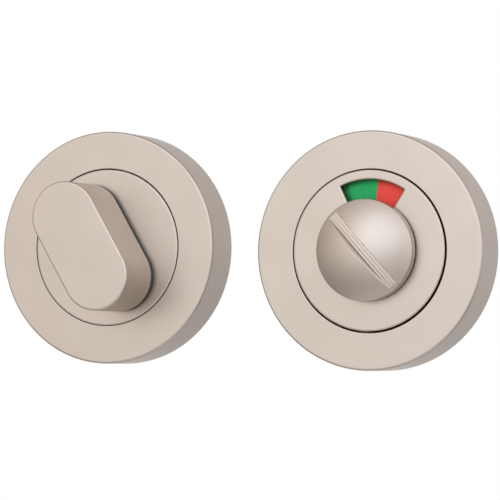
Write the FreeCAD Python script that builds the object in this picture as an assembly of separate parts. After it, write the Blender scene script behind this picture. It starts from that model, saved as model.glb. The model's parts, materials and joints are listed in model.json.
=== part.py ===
import FreeCAD, Part
import math
import os

# Bathroom privacy lock in its two halves, side by side and both facing the viewer:
# the inside thumb turn, and the outside coin release with a green and red indicator.
# Sizes are in millimetres. The door's face is the plane Y = 0, the roses stand out of it
# towards -Y, and +Z is up. The origin is on the thumb turn's axis, at the back of its rose.
# Each half is drawn in its own frame first, with +Z out of the door and +Y up.

# Layout: the two spindle axes, as the set is laid out
HALF_SPACING = 62.8

# Rose covers, one on each half
ROSE_DIAMETER = 52.0
ROSE_DEPTH = 10.5
COVER_WALL = 1.3
COVER_FRONT = 2.0
COVER_RING_WIDTH = 8.5
COVER_EDGE_BREAK = 0.2

# Cast bases: a flange under the cover and a hub whose front is the inner disc of the rose
FACE_GAP = 0.22
FACE_EDGE_BREAK = 0.15
FLANGE_THICKNESS = 3.0
FLANGE_CLEARANCE = 0.2
HUB_WALL = 1.25
TURN_FACE_WALL = 2.0
RELEASE_FACE_WALL = 1.4
BOSS_WALL = 2.3
BOSS_LENGTH = 4.3
WAIST_STEP = 1.5
WAIST_HEIGHT = 6.6

# Spring that holds a cover on its base: leaves let into the flange's rim
LEAF_COUNT = 3
LEAF_ANGLE = 36.0
LEAF_END_ANGLE = 0.5
LEAF_SECTION = 1.0
LEAF_SLACK = 0.1
LEAF_HEIGHT = 1.5

# Fixings through the door
BOLT_INSET = 3.75
BOLT_HOLE_DIAMETER = 4.5
POST_DIAMETER = 5.5
POST_LENGTH = 9.0
POST_HEAD_HEIGHT = 0.8
POST_THREAD_DIAMETER = 3.3
POST_CHAMFER = 0.4

# Shanks, with a square socket for the spindle, and what runs on them
SHANK_DIAMETER = 10.0
SHANK_FLATS = 8.0
SHANK_TAIL = 1.2
RUNNING_CLEARANCE = 0.05
SEAT_CLEARANCE = 0.03
KEY_CLEARANCE = 0.08
AXIAL_PLAY = 0.1
BUSH_WALL = 1.15
BUSH_FLANGE_DIAMETER = 14.0
SPRING_THICKNESS = 0.4
SPRING_HEIGHT = 0.7
SPRING_DIAMETER = 15.6
STOP_THICKNESS = 1.0
STOP_DIAMETER = 16.4
STOP_TAB_CLEARANCE = 1.0
STOP_TAB_ANGLE = 20.0
STOP_RIB_ANGLE = 10.0
STOP_RIB_CLEARANCE = 0.5
STOP_MARGIN_ANGLE = 1.0
CIRCLIP_THICKNESS = 1.0
CIRCLIP_WIDTH = 1.7
CIRCLIP_GROOVE = 0.35
CIRCLIP_GAP_ANGLE = 60.0
CIRCLIP_LUG_DIAMETER = 2.6
CIRCLIP_EYE_DIAMETER = 1.2

# Thumb turn: an obround knob on its shank
KNOB_LENGTH = 30.4
KNOB_WIDTH = 15.6
KNOB_THICKNESS = 12.8
KNOB_STANDOFF = 1.2
KNOB_EDGE_BREAK = 0.15
SPINDLE_SQUARE = 5.0
SPINDLE_CLEARANCE = 0.06
SPINDLE_REACH = 42.0
SPINDLE_CHAMFER = 0.4
TURN_SOCKET_DEPTH = 13.0

# Coin release: a domed button with a tapered slot
BUTTON_DIAMETER = 21.8
BUTTON_STANDOFF = 0.8
BUTTON_HEIGHT = 4.9
DOME_RADIUS = 24.0
DOME_EDGE_BREAK = 0.12
DOME_EDGE_SLOPE = 2.0
SLOT_FLOOR_WIDTH = 1.85
SLOT_DEPTH = 2.25
SLOT_DRAFT = 7.0
RELEASE_SOCKET_DEPTH = 9.0

# Indicator: a hat-shaped disc behind an arc window
WINDOW_RIM = 2.05
WINDOW_MARGIN = 0.27
WINDOW_SPAN = 58.0
WINDOW_CENTRE = 87.5
INDICATOR_CLEARANCE = 0.2
INDICATOR_BRIM = 1.2
INDICATOR_WALL = 1.0
INDICATOR_FLOOR = 1.0
FIELD_THICKNESS = 0.3
FIELD_SPAN = 90.0
FIELD_MARGIN = 0.5
COLOUR_BOUNDARY = 85.0

# Angles in the face of each half, counter-clockwise from +X, as photographed; a quarter turn
# takes the knob and the slot from upright to level
TURN_REST_ANGLE = 121.8
RELEASE_REST_ANGLE = 133.4
UPRIGHT = 90.0
QUARTER_TURN = 90.0
STOP_TAB_MIDDLE = -90.0

PAST = 1.0  # how far a cutting tool runs past the faces it cuts

rose_r = ROSE_DIAMETER / 2
cover_inner_r = rose_r - COVER_WALL
face_r = rose_r - COVER_RING_WIDTH
hub_inner_r = face_r - HUB_WALL
flange_r = cover_inner_r - FLANGE_CLEARANCE
bolt_r = flange_r - BOLT_INSET
leaf_outer_r = cover_inner_r - SEAT_CLEARANCE
leaf_inner_r = leaf_outer_r - LEAF_SECTION
shank_r = SHANK_DIAMETER / 2
bush_inner_r = shank_r + RUNNING_CLEARANCE
bush_outer_r = bush_inner_r + BUSH_WALL
bore_r = bush_outer_r + SEAT_CLEARANCE
boss_r = bore_r + BOSS_WALL
boss_end = ROSE_DEPTH - BOSS_LENGTH
washer_top = boss_end - SPRING_HEIGHT
groove_r = shank_r - CIRCLIP_GROOVE
circlip_inner_r = groove_r + RUNNING_CLEARANCE
indicator_top = ROSE_DEPTH - RELEASE_FACE_WALL - INDICATOR_CLEARANCE
indicator_inner_r = boss_r + INDICATOR_CLEARANCE
indicator_outer_r = hub_inner_r - INDICATOR_CLEARANCE
indicator_wall_r = indicator_inner_r + INDICATOR_WALL
rib_inner_r = indicator_wall_r + STOP_RIB_CLEARANCE
mid_travel = UPRIGHT + QUARTER_TURN / 2


def disc(radius, low, high):
    """A plain cylinder on the half's axis."""
    return Part.makeCylinder(radius, high - low, FreeCAD.Vector(0, 0, low))


def ring(outer, inner, low, high):
    """A flat ring on the half's axis."""
    return disc(outer, low, high).cut(disc(inner, low - PAST, high + PAST))


def at_angle(radius, angle, height=0.0):
    """A point at a radius and an angle in degrees."""
    turn = math.radians(angle)
    return FreeCAD.Vector(radius * math.cos(turn), radius * math.sin(turn), height)


def turned(shape, angle):
    """A copy turned about the half's axis."""
    return shape.rotated(FreeCAD.Vector(0, 0, 0), FreeCAD.Vector(0, 0, 1), angle)


def prism(edges, low, high):
    """A closed outline in the plane of the face, extruded between two heights."""
    outline = Part.Wire(Part.__sortEdges__(edges))
    solid = Part.Face(outline).extrude(FreeCAD.Vector(0, 0, high - low))
    solid.translate(FreeCAD.Vector(0, 0, low))
    return solid


def sector(outer, inner, start, end, low, high):
    """Part of a flat ring between two angles, counter-clockwise."""
    middle = (start + end) / 2
    edges = [
        Part.Arc(at_angle(outer, start), at_angle(outer, middle), at_angle(outer, end)).toShape(),
        Part.Arc(at_angle(inner, start), at_angle(inner, middle), at_angle(inner, end)).toShape(),
        Part.LineSegment(at_angle(inner, start), at_angle(outer, start)).toShape(),
        Part.LineSegment(at_angle(inner, end), at_angle(outer, end)).toShape(),
    ]
    return prism(edges, low, high)


def revolved(points):
    """A profile of (radius, height) points, turned round the half's axis."""
    corners = [FreeCAD.Vector(radius, 0, height) for radius, height in points]
    outline = Part.makePolygon(corners + corners[:1])
    return Part.Face(outline).revolve(FreeCAD.Vector(0, 0, 0), FreeCAD.Vector(0, 0, 1), 360)


def square_bar(side, low, high):
    """A square bar on the half's axis, its sides along X and Y."""
    return Part.makeBox(side, side, high - low, FreeCAD.Vector(-side / 2, -side / 2, low))


def break_edges(shape, size, edge_radius, height):
    """Chamfers the circular edges of one radius at one height."""
    found = [
        edge
        for edge in shape.Edges
        if not edge.Degenerated
        and isinstance(edge.Curve, Part.Circle)
        and abs(edge.Curve.Radius - edge_radius) < 1e-4
        and abs(edge.Curve.Center.z - height) < 1e-4
    ]
    return shape.makeChamfer(size, found)


def rose_cover():
    """The outer cup of a rose: a skirt, a flat front and a round hole for the hub."""
    hole_r = face_r + FACE_GAP
    cup = disc(rose_r, 0, ROSE_DEPTH).cut(disc(cover_inner_r, -PAST, ROSE_DEPTH - COVER_FRONT))
    cup = cup.cut(disc(hole_r, 0, ROSE_DEPTH + PAST))
    return break_edges(cup, COVER_EDGE_BREAK, rose_r, ROSE_DEPTH)


def leaf_sectors(outer, inner, slack, end_angle):
    """One block for each leaf of a cover spring, spaced evenly round the flange's rim."""
    half_angle = LEAF_ANGLE / 2 + end_angle
    half_height = LEAF_SECTION / 2 + slack
    return [
        sector(
            outer,
            inner,
            middle - half_angle,
            middle + half_angle,
            LEAF_HEIGHT - half_height,
            LEAF_HEIGHT + half_height,
        )
        for middle in (360 * index / LEAF_COUNT for index in range(LEAF_COUNT))
    ]


def cover_spring():
    """The spring leaves that grip the inside of a cover's skirt."""
    return Part.makeCompound(leaf_sectors(leaf_outer_r, leaf_inner_r, 0, 0))


def bolt_places():
    """The two fixing centres, above and below the axis."""
    return [at_angle(bolt_r, angle) for angle in (UPRIGHT, -UPRIGHT)]


def stop_ribs(outer, washer_low):
    """Two cast ribs inside the hub that end the quarter turn of the stop washer's tab."""
    reach = QUARTER_TURN / 2 + STOP_TAB_ANGLE / 2 + STOP_MARGIN_ANGLE
    low = washer_low - STOP_THICKNESS / 2
    high = washer_low + 1.5 * STOP_THICKNESS
    return [
        sector(outer + HUB_WALL / 2, rib_inner_r, start, start + STOP_RIB_ANGLE, low, high)
        for start in (STOP_TAB_MIDDLE + reach, STOP_TAB_MIDDLE - reach - STOP_RIB_ANGLE)
    ]


def cast_base(face_wall, hole_diameter, washer_low, waist_step):
    """A base casting: flange, hub with the rose's inner disc, and a bored boss behind the disc.
    A waist makes room beside the hub for the heads of the through bolts."""
    lower_r = hub_inner_r - waist_step
    base = disc(face_r, 0, ROSE_DEPTH)
    base = break_edges(base, FACE_EDGE_BREAK, face_r, ROSE_DEPTH)
    if waist_step:
        base = base.cut(ring(face_r + PAST, face_r - waist_step, FLANGE_THICKNESS, WAIST_HEIGHT))
    base = base.fuse(disc(flange_r, 0, FLANGE_THICKNESS)).removeSplitter()
    base = base.cut(disc(lower_r, -PAST, ROSE_DEPTH - face_wall))
    base = base.fuse(disc(boss_r, boss_end, ROSE_DEPTH - face_wall / 2)).removeSplitter()
    for rib in stop_ribs(lower_r, washer_low):
        base = base.fuse(rib)
    base = base.cut(disc(bore_r, -PAST, ROSE_DEPTH + PAST))
    for pocket in leaf_sectors(flange_r + PAST, leaf_inner_r - LEAF_SLACK, LEAF_SLACK, LEAF_END_ANGLE):
        base = base.cut(pocket)
    for place in bolt_places():
        hole = disc(hole_diameter / 2, -PAST, FLANGE_THICKNESS + PAST)
        hole.translate(place)
        base = base.cut(hole)
    return base.removeSplitter()


def bush(standoff):
    """A flanged nylon bush: its sleeve lines the hub's bore and its flange carries the knob."""
    flange_top = ROSE_DEPTH + standoff - AXIAL_PLAY
    sleeve = disc(bush_outer_r, boss_end, ROSE_DEPTH)
    flange = disc(BUSH_FLANGE_DIAMETER / 2, ROSE_DEPTH, flange_top)
    return sleeve.fuse(flange).cut(disc(bush_inner_r, boss_end - PAST, flange_top + PAST)).removeSplitter()


def flatted(radius, across, low, high):
    """A round bar with two flats, across Y."""
    bar = disc(radius, low, high)
    slab = Part.makeBox(2 * radius, across, high - low, FreeCAD.Vector(-radius, -across / 2, low))
    return bar.common(slab)


def shank(top, keyed_top, keyed_stack, socket_depth):
    """A shank down from the knob: round in its bush, flatted where pieces are keyed on, with a
    circlip groove and a square socket up from its end."""
    clip_top = keyed_top - keyed_stack - AXIAL_PLAY
    clip_low = clip_top - CIRCLIP_THICKNESS
    end = clip_low - SHANK_TAIL
    stem = disc(shank_r, keyed_top, top).fuse(flatted(shank_r, SHANK_FLATS, end, keyed_top))
    stem = stem.cut(ring(shank_r + PAST, groove_r, clip_low - AXIAL_PLAY / 2, clip_top + AXIAL_PLAY / 2))
    socket = square_bar(SPINDLE_SQUARE + 2 * SPINDLE_CLEARANCE, end - PAST, end + socket_depth)
    return stem, socket, clip_low, end


def spring_washer():
    """A coned spring washer that takes up the play behind the boss."""
    inner = shank_r + KEY_CLEARANCE
    outer = SPRING_DIAMETER / 2
    return revolved(
        [
            (inner, boss_end - SPRING_THICKNESS),
            (inner, boss_end),
            (outer, washer_top + SPRING_THICKNESS),
            (outer, washer_top),
        ]
    )


def stop_washer(low, rest_angle, hub_r):
    """A washer keyed on the shank's flats; its tab meets the hub's ribs at the ends of the turn."""
    reach = hub_r - STOP_TAB_CLEARANCE
    tab_middle = STOP_TAB_MIDDLE + rest_angle - mid_travel
    tab = sector(
        reach,
        SHANK_FLATS / 2,
        tab_middle - STOP_TAB_ANGLE / 2,
        tab_middle + STOP_TAB_ANGLE / 2,
        low,
        low + STOP_THICKNESS,
    )
    plate = disc(STOP_DIAMETER / 2, low, low + STOP_THICKNESS).fuse(tab)
    return plate.cut(turned(key_hole(low, low + STOP_THICKNESS), rest_angle)).removeSplitter()


def key_hole(low, high):
    """The tool that cuts a hole to slip over the flatted shank."""
    return flatted(shank_r + KEY_CLEARANCE, SHANK_FLATS + 2 * KEY_CLEARANCE, low - PAST, high + PAST)


def circlip(low):
    """An external circlip: a C with an eye at each end for the pliers."""
    high = low + CIRCLIP_THICKNESS
    outer_r = circlip_inner_r + CIRCLIP_WIDTH
    start = STOP_TAB_MIDDLE + CIRCLIP_GAP_ANGLE / 2
    end = start + 360 - CIRCLIP_GAP_ANGLE
    clip = sector(outer_r, circlip_inner_r, start, end, low, high)
    lug_r = CIRCLIP_LUG_DIAMETER / 2
    for angle in (start, end):
        place = at_angle(circlip_inner_r + lug_r, angle)
        lug = disc(lug_r, low, high)
        lug.translate(place)
        eye = disc(CIRCLIP_EYE_DIAMETER / 2, low - PAST, high + PAST)
        eye.translate(place)
        clip = clip.fuse(lug).cut(eye)
    return clip.removeSplitter()


def thumb_turn():
    """The knob and its shank, cast in one."""
    radius = KNOB_WIDTH / 2
    straight = KNOB_LENGTH / 2 - radius
    foot = ROSE_DEPTH + KNOB_STANDOFF
    top = foot + KNOB_THICKNESS
    corner = [
        FreeCAD.Vector(x, y, 0)
        for x, y in ((-straight, radius), (straight, radius), (straight, -radius), (-straight, -radius))
    ]
    knob = prism(
        [
            Part.LineSegment(corner[0], corner[1]).toShape(),
            Part.Arc(corner[1], FreeCAD.Vector(straight + radius, 0, 0), corner[2]).toShape(),
            Part.LineSegment(corner[2], corner[3]).toShape(),
            Part.Arc(corner[3], FreeCAD.Vector(-straight - radius, 0, 0), corner[0]).toShape(),
        ],
        foot,
        top,
    )
    knob = knob.makeChamfer(KNOB_EDGE_BREAK, [e for e in knob.Edges if e.BoundBox.ZMin > top - 1e-4])
    stem, socket, clip_low, end = shank(foot, washer_top, STOP_THICKNESS, TURN_SOCKET_DEPTH)
    return turned(knob.fuse(stem).cut(socket).removeSplitter(), TURN_REST_ANGLE), clip_low, end


def spindle(end):
    """The square bar that carries the turn through the door to the latch and the release."""
    top = end + TURN_SOCKET_DEPTH - AXIAL_PLAY
    bar = square_bar(SPINDLE_SQUARE, -SPINDLE_REACH, top)
    tips = [e for e in bar.Edges if e.BoundBox.ZLength < 1e-4]
    return turned(bar.makeChamfer(SPINDLE_CHAMFER, tips), TURN_REST_ANGLE)


def release_button():
    """The domed button, slotted for a coin, and its shank."""
    foot = ROSE_DEPTH + BUTTON_STANDOFF
    crown = foot + BUTTON_HEIGHT
    radius = BUTTON_DIAMETER / 2
    broken = radius - DOME_EDGE_BREAK
    ball_centre = crown - DOME_RADIUS
    shoulder = ball_centre + math.sqrt(DOME_RADIUS**2 - broken**2)
    rise = crown - shoulder + PAST
    blank = revolved(
        [
            (0, foot),
            (radius, foot),
            (radius, shoulder - DOME_EDGE_BREAK * DOME_EDGE_SLOPE),
            (broken - rise / DOME_EDGE_SLOPE, shoulder + rise),
            (0, shoulder + rise),
        ]
    )
    ball_axis = FreeCAD.Vector(1, 0, 0)  # its poles lie off the dome
    button = blank.common(Part.makeSphere(DOME_RADIUS, FreeCAD.Vector(0, 0, ball_centre), ball_axis))
    floor = crown - SLOT_DEPTH
    mouth = crown + PAST
    half_floor = SLOT_FLOOR_WIDTH / 2
    half_mouth = half_floor + (mouth - floor) * math.tan(math.radians(SLOT_DRAFT))
    section = Part.makePolygon(
        [
            FreeCAD.Vector(-BUTTON_DIAMETER, y, z)
            for y, z in (
                (-half_floor, floor),
                (half_floor, floor),
                (half_mouth, mouth),
                (-half_mouth, mouth),
                (-half_floor, floor),
            )
        ]
    )
    button = button.cut(Part.Face(section).extrude(FreeCAD.Vector(2 * BUTTON_DIAMETER, 0, 0)))
    keyed_stack = INDICATOR_FLOOR + STOP_THICKNESS
    stem, socket, clip_low, _ = shank(foot, washer_top, keyed_stack, RELEASE_SOCKET_DEPTH)
    return turned(button.fuse(stem).cut(socket).removeSplitter(), RELEASE_REST_ANGLE), clip_low


def window():
    """The tool that cuts the arc window through the release half's inner disc."""
    return sector(
        face_r - WINDOW_RIM,
        indicator_inner_r + FIELD_MARGIN + WINDOW_MARGIN,
        WINDOW_CENTRE - WINDOW_SPAN / 2,
        WINDOW_CENTRE + WINDOW_SPAN / 2,
        ROSE_DEPTH - RELEASE_FACE_WALL - PAST,
        ROSE_DEPTH + PAST,
    )


def indicator_field(start):
    """One coloured field, let into the brim of the indicator."""
    return sector(
        indicator_outer_r - FIELD_MARGIN,
        indicator_inner_r + FIELD_MARGIN,
        start,
        start + FIELD_SPAN,
        indicator_top - FIELD_THICKNESS,
        indicator_top,
    )


def indicator_disc(fields):
    """A moulded hat: a flat brim behind the window, a wall round the boss, a floor keyed on the shank."""
    floor_low = washer_top - INDICATOR_FLOOR
    hat = ring(indicator_outer_r, indicator_inner_r, indicator_top - INDICATOR_BRIM, indicator_top)
    hat = hat.fuse(ring(indicator_wall_r, indicator_inner_r, floor_low, indicator_top))
    hat = hat.fuse(disc(indicator_wall_r, floor_low, washer_top))
    hat = hat.cut(turned(key_hole(floor_low, washer_top), RELEASE_REST_ANGLE))
    for field in fields:
        hat = hat.cut(field)
    return hat.removeSplitter()


def bolt_posts():
    """Two threaded posts, pressed and peened through the release half's flange, for the bolts
    from inside."""
    posts = []
    for place in bolt_places():
        post = disc(POST_DIAMETER / 2, -POST_LENGTH, FLANGE_THICKNESS + POST_HEAD_HEIGHT)
        post = break_edges(post, POST_CHAMFER, POST_DIAMETER / 2, -POST_LENGTH)
        post = post.cut(disc(POST_THREAD_DIAMETER / 2, -POST_LENGTH - PAST, FLANGE_THICKNESS / 2))
        post.translate(place)
        posts.append(post)
    return Part.makeCompound(posts)


def build():
    """All pieces by name, each half in its own frame, with the X of its axis."""
    knob, turn_clip_low, turn_shank_end = thumb_turn()
    button, release_clip_low = release_button()
    turn_stop_low = washer_top - STOP_THICKNESS
    release_stop_low = turn_stop_low - INDICATOR_FLOOR
    fields = {
        "indicator_green_field": indicator_field(COLOUR_BOUNDARY),
        "indicator_red_field": indicator_field(COLOUR_BOUNDARY - FIELD_SPAN),
    }
    turn_half = {
        "turn_rose_cover": rose_cover(),
        "turn_cover_spring": cover_spring(),
        "turn_base": cast_base(TURN_FACE_WALL, BOLT_HOLE_DIAMETER, turn_stop_low, WAIST_STEP),
        "turn_bush": bush(KNOB_STANDOFF),
        "thumb_turn": knob,
        "turn_spring_washer": spring_washer(),
        "turn_stop_washer": stop_washer(turn_stop_low, TURN_REST_ANGLE, hub_inner_r - WAIST_STEP),
        "turn_circlip": circlip(turn_clip_low),
        "turn_spindle": spindle(turn_shank_end),
    }
    post_hole = POST_DIAMETER + 2 * SEAT_CLEARANCE
    release_base = cast_base(RELEASE_FACE_WALL, post_hole, release_stop_low, 0)
    release_half = {
        "release_rose_cover": rose_cover(),
        "release_cover_spring": cover_spring(),
        "release_base": release_base.cut(window()),
        "release_bolt_posts": bolt_posts(),
        "release_bush": bush(BUTTON_STANDOFF),
        "release_button": button,
        "release_spring_washer": spring_washer(),
        "indicator_disc": indicator_disc(fields.values()),
        **fields,
        "release_stop_washer": stop_washer(release_stop_low, RELEASE_REST_ANGLE, hub_inner_r),
        "release_circlip": circlip(release_clip_low),
    }
    return [(turn_half, 0.0), (release_half, HALF_SPACING)]


def on_the_door(shape, axis_x):
    """From a half's own frame to its place on the door: its front turns to face -Y."""
    placed = shape.rotated(FreeCAD.Vector(0, 0, 0), FreeCAD.Vector(1, 0, 0), 90)
    return placed.translated(FreeCAD.Vector(axis_x, 0, 0))


os.makedirs("parts", exist_ok=True)
for half, axis_x in build():
    for name, shape in half.items():
        placed = on_the_door(shape, axis_x)
        print(name, placed.isValid(), len(placed.Solids), "solids,", round(placed.Volume, 2), "mm3")
        placed.exportStep(os.path.join("parts", name + ".step"))
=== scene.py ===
import json
import math

import bmesh
import bpy
from mathutils import Matrix, Vector

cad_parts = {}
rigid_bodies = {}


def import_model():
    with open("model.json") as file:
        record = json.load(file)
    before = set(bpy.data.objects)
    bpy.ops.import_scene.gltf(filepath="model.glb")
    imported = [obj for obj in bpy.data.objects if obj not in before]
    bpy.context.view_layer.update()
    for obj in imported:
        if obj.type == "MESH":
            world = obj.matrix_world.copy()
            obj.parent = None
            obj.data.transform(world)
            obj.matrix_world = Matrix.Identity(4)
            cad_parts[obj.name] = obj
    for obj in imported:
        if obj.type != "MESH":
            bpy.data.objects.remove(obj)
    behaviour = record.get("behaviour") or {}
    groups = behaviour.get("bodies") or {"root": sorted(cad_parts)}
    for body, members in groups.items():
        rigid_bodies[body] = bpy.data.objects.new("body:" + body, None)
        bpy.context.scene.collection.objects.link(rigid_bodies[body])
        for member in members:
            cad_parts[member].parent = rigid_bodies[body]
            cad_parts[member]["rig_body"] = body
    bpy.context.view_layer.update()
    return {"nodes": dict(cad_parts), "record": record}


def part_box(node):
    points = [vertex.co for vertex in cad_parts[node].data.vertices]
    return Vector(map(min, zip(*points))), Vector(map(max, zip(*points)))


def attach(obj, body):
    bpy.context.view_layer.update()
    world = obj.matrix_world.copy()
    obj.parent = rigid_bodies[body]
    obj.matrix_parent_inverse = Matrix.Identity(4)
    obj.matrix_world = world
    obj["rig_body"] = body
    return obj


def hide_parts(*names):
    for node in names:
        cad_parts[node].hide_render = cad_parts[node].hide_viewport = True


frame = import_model()
nodes = frame["nodes"]


# Rose covers: two shallow cups of brass, pressed, turned and plated with satin nickel. Each snaps
# over its base and shows a flat front, a short skirt and a finely rounded rim. Sizes are in mm.
rose_low, rose_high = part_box("turn_rose_cover")
ROSE_RADIUS = rose_high.x * 1000
ROSE_DEPTH = -rose_low.y * 1000
HALF_AXES = {joint["child"]: joint["pos_m"][0] * 1000 for joint in frame["record"]["behaviour"]["joints"]}
COVER_WALL = 1.3
COVER_FRONT = 2.0
COVER_RIM_RADIUS = 0.45
COVER_HOLE_EDGE = 0.1
# Each hole's radius, and how far it lies to the right of its half's axis and above it. The release
# half's cover sits a little to one side of its base, so the gap round the disc is uneven.
COVER_HOLES = {"turn": (17.63, 0.07, 0.06), "release": (17.79, 0.16, -0.09)}
HOLE_BORDER = 1.0
MERGE_DISTANCE = 1e-7
SHARP_ANGLE = 30.0


def linear(colour):
    """An sRGB hex colour as linear RGBA."""
    levels = [int(colour[i : i + 2], 16) / 255 for i in (1, 3, 5)]
    return [v / 12.92 if v <= 0.04045 else ((v + 0.055) / 1.055) ** 2.4 for v in levels] + [1.0]


def add(tree, kind, links=None, **settings):
    """Adds a node; links fills its sockets with values or with other nodes' outputs."""
    node = tree.nodes.new(kind)
    for name, value in settings.items():
        setattr(node, name, value)
    for socket, value in (links or {}).items():
        if isinstance(value, bpy.types.NodeSocket):
            tree.links.new(value, node.inputs[socket])
        else:
            node.inputs[socket].default_value = value
    return node


def new_material(name):
    """An empty node material, its node tree and its coordinates in metres."""
    material = bpy.data.materials.new(name)
    material.use_nodes = True
    tree = material.node_tree
    tree.nodes.clear()
    place = add(tree, "ShaderNodeTexCoord").outputs["Object"]
    return material, tree, place


def close_material(tree, shader):
    """Links a shader to the material's output."""
    add(tree, "ShaderNodeOutputMaterial", {"Surface": shader.outputs["BSDF"]})


def dress(node, material):
    """Gives a solid of the frame its material."""
    slots = nodes[node].data.materials
    slots.clear()
    slots.append(material)


def per_metre(size):
    """The scale of a pattern whose features are this many millimetres across."""
    return 1000.0 / size


# Satin nickel plate: the brass is blasted before plating, so the metal is even, warm and grey, with
# a wide soft gloss. The blasting's grain is about 0.05 mm; it is drawn at 0.3 mm to show. The narrow
# gaps, where little light gets in, are painted nearly black in the metal's colour as painted shade.
BLAST_GRAIN = 0.3
BLAST_HEIGHT = 0.05
PLATE_CLOUD = 9.0


def satin_nickel_plate(name, eased_edge, painted_shade_reach):
    """Satin nickel plate, its sharp edges eased to a radius and painted shade darkening its gaps to a
    depth, in mm.
    """
    material, tree, place = new_material(name)
    grain = add(
        tree,
        "ShaderNodeTexNoise",
        {"Vector": place, "Scale": per_metre(BLAST_GRAIN), "Detail": 3.0, "Roughness": 0.6},
    )
    cloud = add(
        tree, "ShaderNodeTexNoise", {"Vector": place, "Scale": per_metre(PLATE_CLOUD), "Detail": 2.0}
    )
    tone = add(tree, "ShaderNodeValToRGB", {"Fac": cloud.outputs["Fac"]})
    tone.color_ramp.elements[0].position = 0.3
    tone.color_ramp.elements[0].color = linear("#c7baae")
    tone.color_ramp.elements[1].position = 0.7
    tone.color_ramp.elements[1].color = linear("#cbbeb2")
    # Painted shade: the metal's colour is darkened where other surfaces lie within reach, in the gaps.
    openness = add(tree, "ShaderNodeAmbientOcclusion", {"Distance": painted_shade_reach / 1000}, samples=8)
    painted_gap_shade = add(
        tree,
        "ShaderNodeMapRange",
        {"Value": openness.outputs["AO"], "From Min": 0.36, "From Max": 0.48},
    )
    colour = add(
        tree,
        "ShaderNodeVectorMath",
        {0: tone.outputs["Color"], "Scale": painted_gap_shade.outputs["Result"]},
        operation="SCALE",
    )
    gloss = add(
        tree,
        "ShaderNodeMapRange",
        {"Value": grain.outputs["Fac"], "From Min": 0.3, "From Max": 0.7, "To Min": 0.35, "To Max": 0.41},
    )
    eased = add(tree, "ShaderNodeBevel", {"Radius": eased_edge / 1000}, samples=8)
    relief = add(
        tree,
        "ShaderNodeBump",
        {
            "Height": grain.outputs["Fac"],
            "Strength": 0.05,
            "Distance": BLAST_HEIGHT / 1000,
            "Normal": eased.outputs["Normal"],
        },
    )
    plate = add(
        tree,
        "ShaderNodeBsdfPrincipled",
        {
            "Base Color": colour.outputs["Vector"],
            "Metallic": 1.0,
            "Roughness": gloss.outputs["Result"],
            "Normal": relief.outputs["Normal"],
        },
    )
    close_material(tree, plate)
    return material


satin_nickel = satin_nickel_plate("satin_nickel_plate", eased_edge=0.1, painted_shade_reach=0.6)


def on_door(half, x, y, height):
    """A point in metres, from millimetres across, up and out from the door on a half's axis."""
    return Vector((HALF_AXES[half] + x, -height, y)) / 1000


def rounded(corners, steps=7, support=0.12):
    """An outline with its corners rounded; a corner is (across, height, radius), all in millimetres.

    A point at the support distance past each end of a round keeps the flat beside it flat.
    """
    points = []
    for index, (across, height, radius) in enumerate(corners):
        corner = Vector((across, height))
        if not radius:
            points.append(corner)
            continue
        before = (Vector(corners[index - 1][:2]) - corner).normalized()
        after = (Vector(corners[(index + 1) % len(corners)][:2]) - corner).normalized()
        half_angle = before.angle(after) / 2
        run = radius / math.tan(half_angle)
        centre = corner + (before + after).normalized() * radius / math.sin(half_angle)
        start = corner + before * run - centre
        end = corner + after * run - centre
        points.append(corner + before * (run + support))
        for step in range(steps + 1):
            points.append(centre + radius * start.normalized().slerp(end.normalized(), step / steps))
        points.append(corner + after * (run + support))
    return points


def spin(shape, half, outline, segments=192):
    """Adds an outline of (radius, height) points, spun about a half's axis, to a mesh."""
    rings = []
    for segment in range(segments):
        angle = 2 * math.pi * segment / segments
        ring = []
        for radius, height in outline:
            point = on_door(half, radius * math.cos(angle), radius * math.sin(angle), height)
            ring.append(shape.verts.new(point))
        rings.append(ring)
    for ring, following in zip(rings, rings[1:] + rings[:1]):
        for point in range(len(outline)):
            shape.faces.new((ring[point - 1], ring[point], following[point], following[point - 1]))
    bmesh.ops.remove_doubles(shape, verts=shape.verts, dist=MERGE_DISTANCE)


def make_object(name, shape):
    """Turns a mesh into an object of the scene."""
    mesh = bpy.data.meshes.new(name)
    shape.to_mesh(mesh)
    shape.free()
    made = bpy.data.objects.new(name, mesh)
    bpy.context.scene.collection.objects.link(made)
    return made


def add_piece(name, shape, materials, node):
    """Turns a mesh into a smooth plated piece that stands for a solid of the frame."""
    bmesh.ops.recalc_face_normals(shape, faces=shape.faces)
    piece = make_object(name, shape)
    piece.data.shade_smooth()
    piece.data.set_sharp_from_angle(angle=math.radians(SHARP_ANGLE))
    for material in materials:
        piece.data.materials.append(material)
    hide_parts(node)
    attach(piece, nodes[node]["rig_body"])


for half, (hole_radius, aside, upward) in COVER_HOLES.items():
    inner_radius = ROSE_RADIUS - COVER_WALL
    inner_height = ROSE_DEPTH - COVER_FRONT
    wall = rounded(
        (
            (ROSE_RADIUS, 0.0, 0.0),
            (ROSE_RADIUS, ROSE_DEPTH, COVER_RIM_RADIUS),
            (hole_radius, ROSE_DEPTH, COVER_HOLE_EDGE),
            (hole_radius, inner_height, 0.0),
            (inner_radius, inner_height, 0.0),
            (inner_radius, 0.0, 0.0),
        )
    )
    cup = bmesh.new()
    spin(cup, half, wall)
    axis = on_door(half, 0.0, 0.0, 0.0)
    for vert in cup.verts:
        if Vector((vert.co.x - axis.x, vert.co.z)).length < (hole_radius + HOLE_BORDER) / 1000:
            vert.co += Vector((aside, 0.0, upward)) / 1000
    add_piece(half + "_cover_cup", cup, (satin_nickel,), half + "_rose_cover")


# Bases: brass castings, machined on the face and plated with the covers. The face is the inner disc
# of the rose, with a softer edge than the cover's hole; the release half's has an arc window cut
# through it. Two bolts through the door join the bases.
# The bases' painted gap shade reaches 2.2 mm, further than the other plated pieces'.
eased_nickel = satin_nickel_plate("satin_nickel_plate_eased", eased_edge=0.6, painted_shade_reach=2.2)
for node in ("turn_base", "release_base"):
    dress(node, eased_nickel)
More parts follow.
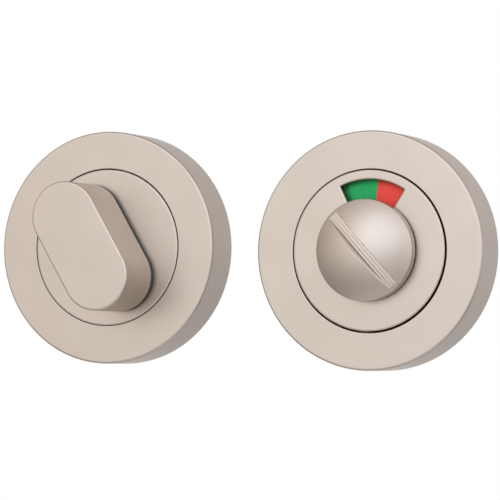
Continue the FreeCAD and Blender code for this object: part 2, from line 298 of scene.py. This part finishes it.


# Thumb turn: an obround knob, cast in brass with its shank and plated to match the roses. Its
# sides are plain and its front edge is finely rounded. A black nylon pad under the foot, hollow for
# the bush's flange, keeps the knob off the disc; it fills the gap where the shade falls, so its black
# is painted shade and shows as a thin dark line.
KNOB_LENGTH = 30.7
KNOB_WIDTH = 15.6
KNOB_FRONT = -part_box("thumb_turn")[0].y * 1000
KNOB_FOOT = 11.85
KNOB_EDGE_RADIUS = 0.42
KNOB_FOOT_EDGE = 0.1
KNOB_REST_ANGLE = 121.8
# The knob stands a little off its axis, along its length and towards its lower end.
KNOB_SHIFT = -0.12
PAD_FOOT = 10.62
PAD_INSET = 0.06
BUSH_RECESS_RADIUS = 7.25
# How far out from the door each shank ends, how far the hollow of its head laps over that end, and
# the margin by which a face lies in front of it.
SHANK_TOPS = {"thumb_turn": 11.7, "release_button": 11.3}
SHANK_LAP = 0.02
SHANK_MARGIN = 0.005

# Black nylon: nearly matt, with the faint spark texture of its mould.
SPARK_TEXTURE = 0.35
SPARK_HEIGHT = 0.1
nylon, tree, place = new_material("moulded_black_nylon")
spark = add(
    tree, "ShaderNodeTexNoise", {"Vector": place, "Scale": per_metre(SPARK_TEXTURE), "Detail": 3.0}
)
tone = add(tree, "ShaderNodeValToRGB", {"Fac": spark.outputs["Fac"]})
tone.color_ramp.elements[0].color = linear("#1b1a19")
tone.color_ramp.elements[1].color = linear("#272523")
relief = add(
    tree,
    "ShaderNodeBump",
    {"Height": spark.outputs["Fac"], "Strength": 0.3, "Distance": SPARK_HEIGHT / 1000},
)
moulding = add(
    tree,
    "ShaderNodeBsdfPrincipled",
    {
        "Base Color": tone.outputs["Color"],
        "Roughness": 0.5,
        "IOR": 1.53,
        "Normal": relief.outputs["Normal"],
    },
)
close_material(tree, moulding)


def shank(node):
    """The shank of a solid: what lies behind the foot of its head, closed where the head was."""
    shape = bmesh.new()
    shape.from_mesh(nodes[node].data)
    bmesh.ops.remove_doubles(shape, verts=shape.verts, dist=MERGE_DISTANCE)
    foot = -(SHANK_TOPS[node] - SHANK_MARGIN) / 1000
    head = [face for face in shape.faces if face.calc_center_median().y < foot]
    bmesh.ops.delete(shape, geom=head, context="FACES")
    bmesh.ops.holes_fill(shape, edges=[edge for edge in shape.edges if edge.is_boundary])
    return shape


def knob_ring(shape, inset, height, straight, segments=160):
    """Adds a ring of points round the knob, drawn in from its side; no straight makes it a circle."""
    lie = Matrix.Rotation(math.radians(KNOB_REST_ANGLE), 2)
    shift = KNOB_SHIFT if straight else 0.0
    radius = KNOB_WIDTH / 2 - inset
    ring = []
    for segment in range(segments):
        angle = 2 * math.pi * (segment + 0.5) / segments
        along = radius * math.cos(angle) + math.copysign(straight, math.cos(angle)) + shift
        x, y = lie @ Vector((along, radius * math.sin(angle)))
        ring.append(shape.verts.new(on_door("turn", x, y, height)))
    return ring


knob = shank("thumb_turn")
straight = (KNOB_LENGTH - KNOB_WIDTH) / 2
side = rounded(
    (
        (0.0, KNOB_FOOT, KNOB_FOOT_EDGE),
        (0.0, KNOB_FRONT, KNOB_EDGE_RADIUS),
        (KNOB_WIDTH / 2, KNOB_FRONT, 0.0),
        (KNOB_WIDTH / 2, KNOB_FOOT, 0.0),
    )
)[:-2]
recess_inset = KNOB_WIDTH / 2 - BUSH_RECESS_RADIUS
# The pad's black stands for painted shade in the gap under the knob.
pad_rings = [
    knob_ring(knob, recess_inset, SHANK_TOPS["thumb_turn"] - SHANK_LAP, 0.0),
    knob_ring(knob, recess_inset, PAD_FOOT, 0.0),
    knob_ring(knob, PAD_INSET, PAD_FOOT, straight),
    knob_ring(knob, PAD_INSET, KNOB_FOOT, straight),
]
rings = pad_rings + [knob_ring(knob, inset, height, straight) for inset, height in side]
for index, (ring, following) in enumerate(zip(rings, rings[1:])):
    for point in range(len(ring)):
        face = knob.faces.new((ring[point - 1], ring[point], following[point], following[point - 1]))
        face.material_index = int(index < len(pad_rings) - 1)
knob.faces.new(rings[0])
knob.faces.new(rings[-1])
add_piece("thumb_turn_knob", knob, (satin_nickel, nylon), "thumb_turn")


# Release button: a shallow dome turned in brass with its shank, and plated to match. A slot for a
# coin is milled across it, and the cutter's passes leave fine lines along its floor.
BUTTON_RADIUS = 11.04
BUTTON_FOOT = 11.09
BUTTON_FOOT_EDGE = 0.1
BUTTON_CROWN = 16.2
DOME_RADIUS = 22.1
DOME_EDGE_RADIUS = 0.3
DOME_EDGE_RUN = 1.0
DOME_RINGS = 40
SLOT_REST_ANGLE = 133.4
SLOT_FLOOR_WIDTH = 2.2
SLOT_DEPTH = 2.5
SLOT_DRAFT = 7.0
SLOT_PASSES = 3
SLOT_PASS_DEPTH = 0.07
SLOT_PASS_STEPS = 6
CUTTER_RISE = 1.0
CUTTER_REACH = 1.5 * BUTTON_RADIUS

dome_centre = BUTTON_CROWN - DOME_RADIUS
dome_edge = dome_centre + math.sqrt(DOME_RADIUS**2 - BUTTON_RADIUS**2)
edge_slope = BUTTON_RADIUS / (dome_edge - dome_centre)
shank_end = SHANK_TOPS["release_button"] - SHANK_LAP
rim = rounded(
    (
        (0.0, shank_end, 0.0),
        (BUSH_RECESS_RADIUS, shank_end, 0.0),
        (BUSH_RECESS_RADIUS, BUTTON_FOOT, 0.0),
        (BUTTON_RADIUS, BUTTON_FOOT, BUTTON_FOOT_EDGE),
        (BUTTON_RADIUS, dome_edge, DOME_EDGE_RADIUS),
        (BUTTON_RADIUS - DOME_EDGE_RUN, dome_edge + edge_slope * DOME_EDGE_RUN, 0.0),
    )
)[:-1]
last_radius = rim[-1].x
for ring in range(1, DOME_RINGS + 1):
    across = last_radius * (1 - ring / DOME_RINGS)
    rim.append(Vector((across, dome_centre + math.sqrt(DOME_RADIUS**2 - across**2))))
head = bmesh.new()
spin(head, "release", rim)
bmesh.ops.recalc_face_normals(head, faces=head.faces)
blank = make_object("button_head", head)

slot_floor = BUTTON_CROWN - SLOT_DEPTH
slot_top = BUTTON_CROWN + CUTTER_RISE
wall_lean = (slot_top - slot_floor) * math.tan(math.radians(SLOT_DRAFT))
pass_width = SLOT_FLOOR_WIDTH / SLOT_PASSES
section = [(-SLOT_FLOOR_WIDTH / 2 - wall_lean, slot_top)]
for step in range(SLOT_PASS_STEPS * SLOT_PASSES + 1):
    dip = math.sin(math.pi * (step % SLOT_PASS_STEPS) / SLOT_PASS_STEPS) * SLOT_PASS_DEPTH
    section.append((-SLOT_FLOOR_WIDTH / 2 + pass_width * step / SLOT_PASS_STEPS, slot_floor - dip))
section.append((SLOT_FLOOR_WIDTH / 2 + wall_lean, slot_top))
cutter_shape = bmesh.new()
slot_lie = Matrix.Rotation(math.radians(SLOT_REST_ANGLE), 2)
ends = []
for along in (-CUTTER_REACH, CUTTER_REACH):
    ring = []
    for across, height in section:
        x, y = slot_lie @ Vector((along, across))
        ring.append(cutter_shape.verts.new(on_door("release", x, y, height)))
    cutter_shape.faces.new(ring)
    ends.append(ring)
for point in range(len(section)):
    cutter_shape.faces.new((ends[0][point - 1], ends[0][point], ends[1][point], ends[1][point - 1]))
bmesh.ops.recalc_face_normals(cutter_shape, faces=cutter_shape.faces)
cutter = make_object("slot_cutter", cutter_shape)
milling = blank.modifiers.new("milling", "BOOLEAN")
milling.operation = "DIFFERENCE"
milling.solver = "EXACT"
milling.object = cutter
milled = blank.evaluated_get(bpy.context.evaluated_depsgraph_get())
slotted = bpy.data.meshes.new_from_object(milled)
bpy.data.objects.remove(blank)
bpy.data.objects.remove(cutter)
button = shank("release_button")
button.from_mesh(slotted)
add_piece("release_button_dome", button, (satin_nickel,), "release_button")


# Cover springs, spring washers and circlips: blanked or bent from spring steel, hardened,
# phosphated and oiled. They are hidden behind the roses.

# Phosphated spring steel: a matt dark grey crystal coat, a little patchy where the oil lies. The
# crystals are about 0.01 mm; they are drawn as patches of 0.4 mm to show.
CRYSTAL_PATCH = 0.4
spring_steel, tree, place = new_material("phosphated_spring_steel")
crystals = add(
    tree, "ShaderNodeTexNoise", {"Vector": place, "Scale": per_metre(CRYSTAL_PATCH), "Detail": 4.0}
)
tone = add(tree, "ShaderNodeValToRGB", {"Fac": crystals.outputs["Fac"]})
tone.color_ramp.elements[0].position = 0.35
tone.color_ramp.elements[0].color = linear("#4c4b4d")
tone.color_ramp.elements[1].position = 0.7
tone.color_ramp.elements[1].color = linear("#6b6a6c")
gloss = add(
    tree,
    "ShaderNodeMapRange",
    {"Value": crystals.outputs["Fac"], "From Min": 0.3, "From Max": 0.7, "To Min": 0.38, "To Max": 0.55},
)
coat = add(
    tree,
    "ShaderNodeBsdfPrincipled",
    {"Base Color": tone.outputs["Color"], "Metallic": 1.0, "Roughness": gloss.outputs["Result"]},
)
close_material(tree, coat)
for node in (
    "turn_cover_spring",
    "release_cover_spring",
    "turn_spring_washer",
    "release_spring_washer",
    "turn_circlip",
    "release_circlip",
):
    dress(node, spring_steel)


# Spindle, stop washers and threaded posts: mild steel, drawn, blanked or turned, and zinc plated.
# The spindle sits in the turn's shank, each washer is keyed on a shank, and the posts are pressed
# through the release half's flange.

# Bright zinc plate: blue-white, with fine draw lines along the bar and a clouded tone.
DRAW_LINE = (0.25, 12.0, 0.25)
zinc_plate, tree, place = new_material("bright_zinc_plate")
drawn = add(
    tree, "ShaderNodeMapping", {"Vector": place, "Scale": [per_metre(size) for size in DRAW_LINE]}
)
streaks = add(tree, "ShaderNodeTexNoise", {"Vector": drawn.outputs["Vector"], "Scale": 1.0, "Detail": 3.0})
tone = add(tree, "ShaderNodeValToRGB", {"Fac": streaks.outputs["Fac"]})
tone.color_ramp.elements[0].position = 0.3
tone.color_ramp.elements[0].color = linear("#b9bcc0")
tone.color_ramp.elements[1].position = 0.7
tone.color_ramp.elements[1].color = linear("#ced1d4")
gloss = add(
    tree,
    "ShaderNodeMapRange",
    {"Value": streaks.outputs["Fac"], "From Min": 0.3, "From Max": 0.7, "To Min": 0.24, "To Max": 0.36},
)
plate = add(
    tree,
    "ShaderNodeBsdfPrincipled",
    {"Base Color": tone.outputs["Color"], "Metallic": 1.0, "Roughness": gloss.outputs["Result"]},
)
close_material(tree, plate)
for node in ("turn_spindle", "turn_stop_washer", "release_stop_washer", "release_bolt_posts"):
    dress(node, zinc_plate)


# Bushes: moulded in the same black nylon as the knob's pad. The sleeve lines the hub's bore, and
# the flange under the head keeps metal from rubbing on metal.
for node in ("turn_bush", "release_bush"):
    dress(node, nylon)


# Indicator: a hat-shaped moulding keyed on the release's shank. Its brim runs behind the window
# and carries a green and a red field, which meet at a sharp line.

# Off-white acetal: a smooth waxy moulding, faintly clouded by the flow in its mould.
FLOW_CLOUD = 4.0
acetal, tree, place = new_material("moulded_acetal")
flow = add(tree, "ShaderNodeTexNoise", {"Vector": place, "Scale": per_metre(FLOW_CLOUD), "Detail": 3.0})
tone = add(tree, "ShaderNodeValToRGB", {"Fac": flow.outputs["Fac"]})
tone.color_ramp.elements[0].color = linear("#d8d5cc")
tone.color_ramp.elements[1].color = linear("#e4e1d9")
moulding = add(
    tree,
    "ShaderNodeBsdfPrincipled",
    {"Base Color": tone.outputs["Color"], "Roughness": 0.42, "IOR": 1.48},
)
close_material(tree, moulding)
dress("indicator_disc", acetal)

# Printed film: flat bright ink under a satin face, with faint streaks from the squeegee. Painted
# shade darkens the ink within reach of the window's walls, most at the left end, because the view of
# the open sky that it measures leans that way, away from the light.
SQUEEGEE_STREAK = (0.5, 4.0, 5.0)
SHADE_REACH = 1.6
SHADE_LEAN = (-0.8, 0.0, 0.0)
for node, dark, light in (
    ("indicator_green_field", "#24ab5c", "#2cb564"),
    ("indicator_red_field", "#f54e42", "#fb5549"),
):
    film, tree, place = new_material("printed_film_" + node.split("_")[1])
    drawn = add(
        tree,
        "ShaderNodeMapping",
        {"Vector": place, "Scale": [per_metre(size) for size in SQUEEGEE_STREAK]},
    )
    streaks = add(
        tree, "ShaderNodeTexNoise", {"Vector": drawn.outputs["Vector"], "Scale": 1.0, "Detail": 3.0}
    )
    tone = add(tree, "ShaderNodeValToRGB", {"Fac": streaks.outputs["Fac"]})
    tone.color_ramp.elements[0].position = 0.3
    tone.color_ramp.elements[0].color = linear(dark)
    tone.color_ramp.elements[1].position = 0.7
    tone.color_ramp.elements[1].color = linear(light)
    facing = add(tree, "ShaderNodeNewGeometry").outputs["Normal"]
    leaning = add(tree, "ShaderNodeVectorMath", {0: facing, 1: SHADE_LEAN}, operation="ADD")
    leaning = add(tree, "ShaderNodeVectorMath", {0: leaning.outputs["Vector"]}, operation="NORMALIZE")
    # Painted shade: the ink is darkened where the window's walls are within reach, leaning to the left.
    openness = add(
        tree,
        "ShaderNodeAmbientOcclusion",
        {"Distance": SHADE_REACH / 1000, "Normal": leaning.outputs["Vector"]},
        samples=8,
    )
    shade = add(
        tree,
        "ShaderNodeMapRange",
        {"Value": openness.outputs["AO"], "From Min": 0.42, "From Max": 0.86, "To Min": 0.25},
    )
    colour = add(
        tree,
        "ShaderNodeVectorMath",
        {0: tone.outputs["Color"], "Scale": shade.outputs["Result"]},
        operation="SCALE",
    )
    ink = add(
        tree,
        "ShaderNodeBsdfPrincipled",
        {"Base Color": colour.outputs["Vector"], "Roughness": 0.55, "IOR": 1.5, "Specular IOR Level": 0.2},
    )
    close_material(tree, ink)
    dress(node, film)


# Studio: a pale floor well below the lock, one broad softbox in front of it, and a cloth surround
# that glows unevenly, with patches of painted light that stand for bounced lamps. The cloth is open
# behind the lock, as the camera sees it, and the white background shows there. Places and sizes are
# in metres, and angles in degrees.
MIDDLE = Vector((HALF_AXES["release"] / 2, -ROSE_DEPTH, 0.0)) / 1000
CAMERA_AZIMUTH = 23.29672
CAMERA_ELEVATION = -1.61585
FLOOR_DROP = 1.0
FLOOR_RADIUS = 1.0
SURROUND_RADIUS = 3.0
SURROUND_OPENING = 20.0
SOFTBOX_DISTANCE = 1.5
SOFTBOX_SIZE = 1.4
SOFTBOX_POWER = 4.3


def toward(azimuth, elevation):
    """The direction from the lock to a lamp; azimuth 0 is straight in front and turns to the right."""
    turn = math.radians(azimuth)
    lift = math.radians(elevation)
    return Vector((math.sin(turn) * math.cos(lift), -math.cos(turn) * math.cos(lift), math.sin(lift)))


shape = bmesh.new()
bmesh.ops.create_circle(shape, cap_ends=True, segments=96, radius=FLOOR_RADIUS)
bmesh.ops.translate(shape, verts=shape.verts, vec=(MIDDLE.x, MIDDLE.y, -FLOOR_DROP))
floor = make_object("floor", shape)

# Matt paper: nearly white and faintly mottled.
PAPER_MOTTLE = 40.0
paper, tree, place = new_material("pale_paper")
mottle = add(
    tree, "ShaderNodeTexNoise", {"Vector": place, "Scale": per_metre(PAPER_MOTTLE), "Detail": 2.0}
)
tone = add(tree, "ShaderNodeValToRGB", {"Fac": mottle.outputs["Fac"]})
tone.color_ramp.elements[0].color = linear("#f1f0ee")
tone.color_ramp.elements[1].color = linear("#f5f4f2")
sheet = add(tree, "ShaderNodeBsdfPrincipled", {"Base Color": tone.outputs["Color"], "Roughness": 0.9})
close_material(tree, sheet)
floor.data.materials.append(paper)

away = -toward(CAMERA_AZIMUTH, CAMERA_ELEVATION)
shape = bmesh.new()
bmesh.ops.create_uvsphere(shape, u_segments=96, v_segments=48, radius=SURROUND_RADIUS)
behind = [
    face
    for face in shape.faces
    if face.calc_center_median().normalized().dot(away) > math.cos(math.radians(SURROUND_OPENING))
]
bmesh.ops.delete(shape, geom=behind, context="FACES")
surround = make_object("surround", shape)
surround.location = MIDDLE
surround.visible_camera = False

# Grey cloth: it glows dim all over, with broad soft patches of painted light where bounced lamps
# would fall on it. A patch is its azimuth, elevation, sharpness, colour and strength.
CLOTH_COLOUR = "#e6f5ff"
CLOTH_STRENGTH = 0.12
PATCHES = {
    "in front, high": (0.0, 25.0, 2.4, "#f2f5ff", 0.71),
    "in front, to the left": (-30.0, 10.0, 6.0, "#fff5e3", 0.56),
    "in front, low": (8.0, -25.0, 10.0, "#fff9f3", 0.2),
    "right, high": (58.0, 49.0, 2.4, "#ffddc9", 0.36),
    "right": (75.0, 8.0, 5.0, "#f2f8ff", 1.12),
    "left": (-92.0, 12.0, 2.4, "#fff0e8", 0.31),
    "behind": (-179.0, 3.0, 5.0, "#fffeff", 0.9),
}
cloth, tree, place = new_material("grey_cloth")
outward = add(tree, "ShaderNodeVectorMath", {0: place}, operation="NORMALIZE")
dim = Vector(linear(CLOTH_COLOUR)[:3]) * CLOTH_STRENGTH
light = add(tree, "ShaderNodeVectorMath", {0: dim}, operation="ADD")
for azimuth, elevation, sharpness, colour, strength in PATCHES.values():
    facing = add(
        tree,
        "ShaderNodeVectorMath",
        {0: outward.outputs["Vector"], 1: toward(azimuth, elevation)},
        operation="DOT_PRODUCT",
    )
    fall = add(
        tree,
        "ShaderNodeMath",
        {0: facing.outputs["Value"], 1: sharpness, 2: -sharpness},
        operation="MULTIPLY_ADD",
    )
    fall = add(tree, "ShaderNodeMath", {0: fall.outputs[0]}, operation="EXPONENT")
    patch = add(
        tree,
        "ShaderNodeVectorMath",
        {0: Vector(linear(colour)[:3]) * strength, "Scale": fall.outputs[0]},
        operation="SCALE",
    )
    light = add(
        tree,
        "ShaderNodeVectorMath",
        {0: light.outputs["Vector"], 1: patch.outputs["Vector"]},
        operation="ADD",
    )
glow = add(tree, "ShaderNodeEmission", {"Color": light.outputs["Vector"], "Strength": 1.0})
add(tree, "ShaderNodeOutputMaterial", {"Surface": glow.outputs["Emission"]})
surround.data.materials.append(cloth)

softbox_data = bpy.data.lights.new("softbox", "AREA")
softbox_data.shape = "DISK"
softbox_data.size = SOFTBOX_SIZE
softbox_data.energy = SOFTBOX_POWER
softbox_data.color = linear("#c8e7ff")[:3]
softbox = bpy.data.objects.new("softbox", softbox_data)
bpy.context.scene.collection.objects.link(softbox)
lamp_side = toward(azimuth=2.0, elevation=20.0)
softbox.location = MIDDLE + SOFTBOX_DISTANCE * lamp_side
softbox.rotation_euler = lamp_side.to_track_quat("Z", "Y").to_euler()

# White background: full white to the camera and in reflections, and half as strong on the rest.
world = bpy.data.worlds.new("white_studio")
bpy.context.scene.world = world
world.use_nodes = True
tree = world.node_tree
tree.nodes.clear()
ray = add(tree, "ShaderNodeLightPath")
seen = add(
    tree,
    "ShaderNodeMath",
    {0: ray.outputs["Is Camera Ray"], 1: ray.outputs["Is Glossy Ray"]},
    operation="MAXIMUM",
)
seen = add(
    tree,
    "ShaderNodeMath",
    {0: seen.outputs[0], 1: ray.outputs["Is Transmission Ray"]},
    operation="MAXIMUM",
)
strength = add(tree, "ShaderNodeMapRange", {"Value": seen.outputs[0], "To Min": 0.5, "To Max": 1.0})
white = add(tree, "ShaderNodeBackground", {"Color": (1, 1, 1, 1), "Strength": strength.outputs["Result"]})
add(tree, "ShaderNodeOutputWorld", {"Surface": white.outputs["Background"]})


# Camera: a long lens, a little to the right of the lock's middle and a little below it, looking
# slightly up and rolled by just over a degree.
CAMERA_PLACE = Vector((0.300860, -0.627867, -0.019164))
CAMERA_ROLL = 1.34404
camera_data = bpy.data.cameras.new("camera")
camera_data.sensor_width = 36.0
camera_data.lens = 220.597
camera_data.clip_start = 0.01
camera_data.clip_end = 20.0
camera = bpy.data.objects.new("camera", camera_data)
bpy.context.scene.collection.objects.link(camera)
level = away.to_track_quat("-Z", "Y").to_matrix()
roll = Matrix.Rotation(math.radians(CAMERA_ROLL), 3, "Z")
camera.matrix_world = Matrix.LocRotScale(CAMERA_PLACE, level @ roll, None)
bpy.context.scene.camera = camera
bpy.context.scene.view_settings.view_transform = "Standard"
